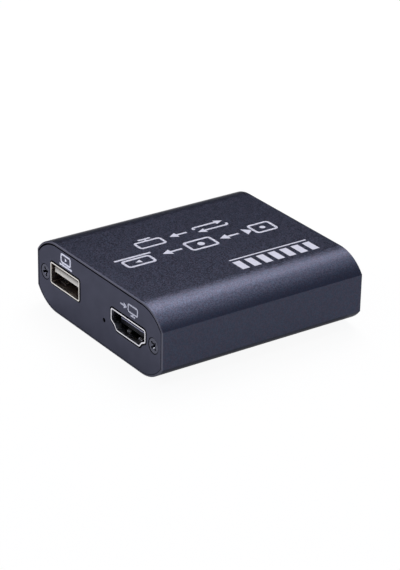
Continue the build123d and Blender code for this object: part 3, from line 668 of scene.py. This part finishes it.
def printSign(name, face, drawing, across, up, width, height, stroke):
    lines, shapes = drawing(width, height)
    layers = range(len(lines) + len(shapes))
    films = [printLook["film"] * printLook["layer"] ** i for i in layers]
    values = {"Stroke Width": stroke * mm, "Bend Radius": printLook["bend"] * stroke * mm}
    ink = "thick_ink" if name in printLook["thickInk"] else "ink"
    meshes = []
    for line, closed in lines:
        values["Film"] = films.pop(0)
        scaled = [(x * mm, y * mm) for x, y in line]
        meshes.append(strokes.bake(guideMesh([(scaled, closed)]), ink, values))
    for shape in shapes:
        meshes.append(prism([(x * mm, y * mm) for x, y in shape], films.pop(0), ink))
    place = signPlace(face, across, up)
    for mesh in meshes:
        mesh.transform(place)
    addPiece(name, meshes)


for name, sign in signs.items():
    printSign(name, *sign)
print("stage: signs printed,", len(signs))


def copiesRecipe(title, shape, sizes):
    # Sets one small solid on every point of the guide, stretched by the point's own size.
    recipe = Recipe(title, ())
    solid = recipe.node(shape, {}, sizes)
    settings = {"data_type": "FLOAT_VECTOR"}
    stretch = recipe.node("GeometryNodeInputNamedAttribute", settings, {"Name": "size"})
    inputs = {"Points": recipe.given.out("Geometry"), "Instance": solid,
              "Scale": stretch.out("Attribute")}
    recipe.close(recipe.node("GeometryNodeInstanceOnPoints", {}, inputs))
    return recipe


def sizedPoints(items):
    # Items are (place, size), both in millimetres.
    mesh = bpy.data.meshes.new("points")
    mesh.from_pydata([[value * mm for value in place] for place, size in items], [], [])
    sizes = mesh.attributes.new("size", "FLOAT_VECTOR", "POINT")
    for entry, (place, size) in zip(sizes.data, items):
        entry.vector = [value * mm for value in size]
    return mesh


# What the board carries besides the solid pieces: solder, end caps, vias, tracks and the
# white outlines round its parts. All sizes and places are in millimetres.
boardDetail = {
    "top": 6.2,
    "bottom": 4.6,
    "solderHeight": 0.75,
    "solderSpread": 0.45,  # how far the solder reaches round a leg
    "solderTip": 0.32,  # width of its tip, as a share of its foot
    "passiveLength": 1.0,
    "passiveWidth": 0.5,  # the small passive parts are as high as they are wide
    "capLength": 0.24,
    "capFilm": 0.012,
    "viaRadius": 0.28,
    "viaHeight": 0.02,
    "viaPitch": 2.4,
    "viaRows": range(-4, 5),  # counted from the middle of the board
    "viaSides": (-23.6, 23.6),
    "trackWidth": 0.2,
    "trackFilm": 0.03,
    "legendWidth": 0.15,
    "legendFilm": 0.02,
    "legendMargin": 0.35,
}
videoMouth = 28.77  # mouths of the video sockets, from the middle of the box
jackPitch = 9.8
# Legs that go through the board: middle across and along, width and depth
legPlaces = [(-20.85, -23.65, 0.3, 2.2), (-8.05, -23.65, 0.3, 2.2)]
legPlaces += [(x, -14.9, 1.0, 0.2) for x in (-17.95, -15.45, -13.45, -10.95)]
legPlaces += [(x, way * (videoMouth - depth), 0.3, 1.2)
              for way in (-1, 1) for x in (6.05, 20.35) for depth in (4.2, 9.6)]
for shift in (0, jackPitch):
    legPlaces += [(-15.86 + shift, 23.05, 0.3, 1.2), (-20.36 + shift, 21.25, 0.3, 1.2),
                  (-16.11 + shift, 15.3, 0.3, 1.2)]
# Middles of the small passive parts, in two rows below the board and one above
columns = (-4.96, -3.36, -1.76, -0.16, 10.79, 12.39, 13.99, 15.59)
passivePlaces = [(x, y, 4.35) for x in columns for y in (-1.65, 1.55)]
passivePlaces += [(x, 6.05, 6.45) for x in columns]
# Outlines round the parts: left, low, right, high
outlined = [
    (-7.06, -4.55, 1.94, 4.45), (8.69, -4.55, 17.69, 4.45), (-19.85, 4.88, -13.95, 9.78),
    (-19.55, -10.43, -14.25, -4.42), (-12.5, -9.43, -8.5, -5.42), (-12.5, 5.32, -8.5, 9.33),
    (-4.16, -12.8, -0.96, -10.3), (11.59, -12.8, 14.79, -10.3), (1.91, -26.2, 3.91, -24.8),
]
outlined += [(3.72, low, 6.52, low + 3.5) for low in (-10.65, -1.8, 7.05)]
outlined += [(x, low, x + 2.5, low + 1) for x in (8.35, 11.95, 15.55) for low in (-15.62, 14.62)]
# Bundles of tracks: how many, the first one's start and end, how far apart they start and
# end, and whether they run across the box, with their places along it given first
trackBundles = [
    (9, (9.2, -16.3), (9.9, -4.7), 1.0, 0.82, False),
    (9, (9.2, 16.3), (9.9, 4.7), 1.0, 0.82, False),
    (12, (-2.8, 2.1), (-3.35, 8.6), 0.5, 0.6, True),
    (4, (5.42, -13.8), (0.2, -7.2), 1.27, 1.0, True),
    (2, (-13.45, -14.6), (-5.0, -4.7), 2.5, 0.6, False),
    (1, (14.5, -15.9), (4.7, -4.6), 0, 0, True),
    (1, (-6.1, 14.5), (-2.2, 4.7), 0, 0, False),
]


def trackLine(x0, y0, x1, y1):
    # Straight ahead, one slanting step to the side, and straight on. Where the step would be
    # shorter than the track is wide, one line joins both ends.
    way = 1 if y1 > y0 else -1
    middle, step = (y0 + y1) / 2, way * abs(x1 - x0) / 2
    if abs(step) < boardDetail["trackWidth"]:
        return [(x0, y0), (x1, y1)]
    return [(x0, y0), (x0, middle - step), (x1, middle + step), (x1, y1)]


def boardTracks():
    lines = []
    for count, (x0, y0), (x1, y1), startStep, endStep, turned in trackBundles:
        for i in range(count):
            line = trackLine(x0 + startStep * i, y0, x1 + endStep * i, y1)
            lines.append([(y, x) for x, y in line] if turned else line)
    return lines


def addSolder():
    look = boardDetail
    cones = copiesRecipe("solder cones", "GeometryNodeMeshCone", {
        "Vertices": 16, "Radius Top": look["solderTip"], "Radius Bottom": 1.0, "Depth": 1.0})
    reach, down = look["solderSpread"], -look["solderHeight"]
    joints = [((x, y, look["bottom"]), (width / 2 + reach, deep / 2 + reach, down))
              for x, y, width, deep in legPlaces]
    addPiece("solder_joints", [cones.bake(sizedPoints(joints), "tinned", {})])


def addEndCaps():
    look = boardDetail
    blocks = copiesRecipe("end caps", "GeometryNodeMeshCube", {"Size": (1, 1, 1)})
    length, film = look["capLength"], look["capFilm"]
    wide = look["passiveWidth"] + 2 * film
    middle = look["passiveLength"] / 2 + film - length / 2
    caps = [((x, y + way * middle, z), (wide, length, wide))
            for x, y, z in passivePlaces for way in (-1, 1)]
    addPiece("passive_end_caps", [blocks.bake(sizedPoints(caps), "tinned", {})])


def addVias():
    look = boardDetail
    rods = copiesRecipe("vias", "GeometryNodeMeshCylinder", {
        "Vertices": 12, "Radius": 1.0, "Depth": 1.0})
    places = [(x, look["viaPitch"] * i) for x in look["viaSides"] for i in look["viaRows"]]
    places += [line[2] for line in boardTracks()[::2] if len(line) > 2]  # at their bends
    radius, height = look["viaRadius"], look["viaHeight"]
    vias = [((x, y, look["top"] + height), (radius, radius, height)) for x, y in places]
    addPiece("board_vias", [rods.bake(sizedPoints(vias), "tinned", {})])


def boardStrokes(lines, closed, width, film, finishName):
    # Strokes along lines in millimetres, at the height of the box's underside.
    scaled = [([(x * mm, y * mm) for x, y in line], closed) for line in lines]
    values = {"Stroke Width": width * mm, "Film": film * mm,
              "Bend Radius": printLook["bend"] * width * mm}
    return strokes.bake(guideMesh(scaled), finishName, values)


def addTracks():
    look = boardDetail
    film = look["trackFilm"]
    tracks = boardStrokes(boardTracks(), False, look["trackWidth"], film, "track")
    tracks.transform(Matrix.Translation((0, 0, (look["top"] + film / 2) * mm)))
    addPiece("board_tracks", [tracks])


def addLegend():
    look = boardDetail
    film, margin = look["legendFilm"], look["legendMargin"]
    frames = [rectangle(left - margin, low - margin,
                        right - left + 2 * margin, high - low + 2 * margin)
              for left, low, right, high in outlined]
    legend = boardStrokes(frames, True, look["legendWidth"], film, "legend")
    legend.transform(Matrix.Translation((0, 0, (look["top"] + film) * mm)))
    addPiece("board_legend", [legend])


for addDetail in (addSolder, addEndCaps, addVias, addTracks, addLegend):
    addDetail()
print("stage: board detail made,", len(legPlaces), "solder joints")

# Angles in degrees
viewLook = {
    "azimuth": 54.89,
    "elevation": 25.283,
    "roll": 1.079,
    "distance": 524.35 * mm,
    "aim": (0, 0, 9.24 * mm),
    "lens": 136.87,  # millimetres
    "shift": (0.00365, -0.00998),
    "clip": (0.01, 50),
}


def setCamera():
    look = viewLook
    angles = (math.radians(look[key]) for key in ("azimuth", "elevation", "roll"))
    azimuth, elevation, roll = angles
    flat = math.cos(elevation)
    back = Vector((math.sin(azimuth) * flat, -math.cos(azimuth) * flat, math.sin(elevation)))
    levelRight = Vector((math.cos(azimuth), math.sin(azimuth), 0))
    levelUp = back.cross(levelRight)
    right = levelRight * math.cos(roll) + levelUp * math.sin(roll)
    up = levelUp * math.cos(roll) - levelRight * math.sin(roll)
    data = bpy.data.cameras.new("camera")
    data.lens = look["lens"]
    data.shift_x, data.shift_y = look["shift"]
    data.clip_start, data.clip_end = look["clip"]
    camera = bpy.data.objects.new("camera", data)
    place = Matrix((right, up, back)).transposed().to_4x4()
    place.translation = Vector(look["aim"]) + back * look["distance"]
    camera.matrix_world = place
    bpy.context.scene.collection.objects.link(camera)
    bpy.context.scene.camera = camera


studioLook = {
    "skyLow": (0.8, 0.8, 0.8),  # at the horizon
    "skyHigh": (0.30, 0.335, 0.43),  # from the height of skyRise up
    "skyRise": 0.22,
    "curtain": 0.65,  # share of the sky's light left on the side of a dark curtain
    "curtainSide": (-0.82, 0.57, 0.0),
    "curtainReach": (0.2, 0.9),  # cosines between which it sets in
    "floorSize": 40.0,
    "floorDrop": 0.1 * mm,
    "floorTone": (0.9, 0.9, 0.9),
    "floorRoughness": 0.9,
    "floorGloss": 0.1,
    "seenGlow": 0.93,  # share of plain white that the camera sees in it
    "mirroredGlow": 0.5,  # the same in reflections and through the clear dome
}
# Azimuth from the X axis and elevation in degrees, size in metres, power in watts
lampLooks = {
    "softbox": {"azimuth": 138.0, "elevation": 54.7, "size": (0.56, 0.52), "power": 4.8,
                "colour": (1.0, 0.95, 0.885)},
    "overhead": {"azimuth": 63.5, "elevation": 72.8, "size": (0.90, 0.60), "power": 3.4,
                 "colour": (1.0, 0.99, 0.97)},
    "frontStrip": {"azimuth": 240.0, "elevation": 32.0, "size": (1.30, 0.35), "power": 2.2,
                   "colour": (1.0, 1.0, 1.0)},
}
lampDistance = 0.9


def setLamp(name):
    look = lampLooks[name]
    data = bpy.data.lights.new(name, "AREA")
    data.shape = "RECTANGLE"
    data.size, data.size_y = look["size"]
    data.energy = look["power"]
    data.color = look["colour"]
    azimuth, elevation = math.radians(look["azimuth"]), math.radians(look["elevation"])
    flat = math.cos(elevation)
    toward = Vector((flat * math.cos(azimuth), flat * math.sin(azimuth), math.sin(elevation)))
    lamp = bpy.data.objects.new(name, data)
    lamp.location = toward * lampDistance
    lamp.rotation_mode = "QUATERNION"
    lamp.rotation_quaternion = toward.to_track_quat("Z", "Y")
    bpy.context.scene.collection.objects.link(lamp)


def setSky():
    world = bpy.data.worlds.new("studio")
    world.use_nodes = True
    bpy.context.scene.world = world
    sky = NodeMaker(world.node_tree)
    direction = sky.node("ShaderNodeTexCoord").out("Generated")
    height = sky.node("ShaderNodeSeparateXYZ", {}, {"Vector": direction}).out("Z")
    low, high = opaque(studioLook["skyLow"]), opaque(studioLook["skyHigh"])
    stops = [(0, low), (studioLook["skyRise"], high)]
    shade = sky.node("ShaderNodeValToRGB", {"stops": stops}, {"Fac": height}).out("Color")
    inputs = {0: direction, 1: studioLook["curtainSide"]}
    side = sky.node("ShaderNodeVectorMath", {"operation": "DOT_PRODUCT"}, inputs).out("Value")
    start, end = studioLook["curtainReach"]
    inputs = {"Value": side, "From Min": start, "From Max": end,
              "To Min": 1.0, "To Max": studioLook["curtain"]}
    dimmed = sky.node("ShaderNodeMapRange", {"interpolation_type": "SMOOTHSTEP"}, inputs)
    background = world.node_tree.nodes["Background"]
    sky.feed(background.inputs["Color"], shade)
    sky.feed(background.inputs["Strength"], dimmed)


def setFloor():
    half, level = studioLook["floorSize"] / 2, -studioLook["floorDrop"]
    corners = [(x, y, level) for x, y in rectangle(-half, -half, 2 * half, 2 * half)]
    mesh = bpy.data.meshes.new("floor")
    mesh.from_pydata(corners, [], [(0, 1, 2, 3)])
    floor = bpy.data.objects.new("floor", mesh)
    bpy.context.scene.collection.objects.link(floor)
    paint = Finish("floor", {"Base Color": opaque(studioLook["floorTone"]),
                             "Roughness": studioLook["floorRoughness"],
                             "Specular IOR Level": studioLook["floorGloss"]})
    glow = paint.node("ShaderNodeEmission", {}, {"Color": (1, 1, 1, 1), "Strength": 1.0})
    path = paint.node("ShaderNodeLightPath")
    mirrored = path.out("Is Glossy Ray").largest(path.out("Is Transmission Ray"))
    seen = path.out("Is Camera Ray") * studioLook["seenGlow"]
    share = seen.largest(mirrored * studioLook["mirroredGlow"])
    inputs = {0: share, 1: Signal(paint, paint.shader), 2: glow}
    mixed = paint.node("ShaderNodeMixShader", {}, inputs)
    paint.feed(paint.tree.nodes["Material Output"].inputs["Surface"], mixed)
    mesh.materials.append(paint.material)


setCamera()
setSky()
setFloor()
for lampName in lampLooks:
    setLamp(lampName)
bpy.context.scene.view_settings.view_transform = "Standard"
print("stage: camera and studio set")
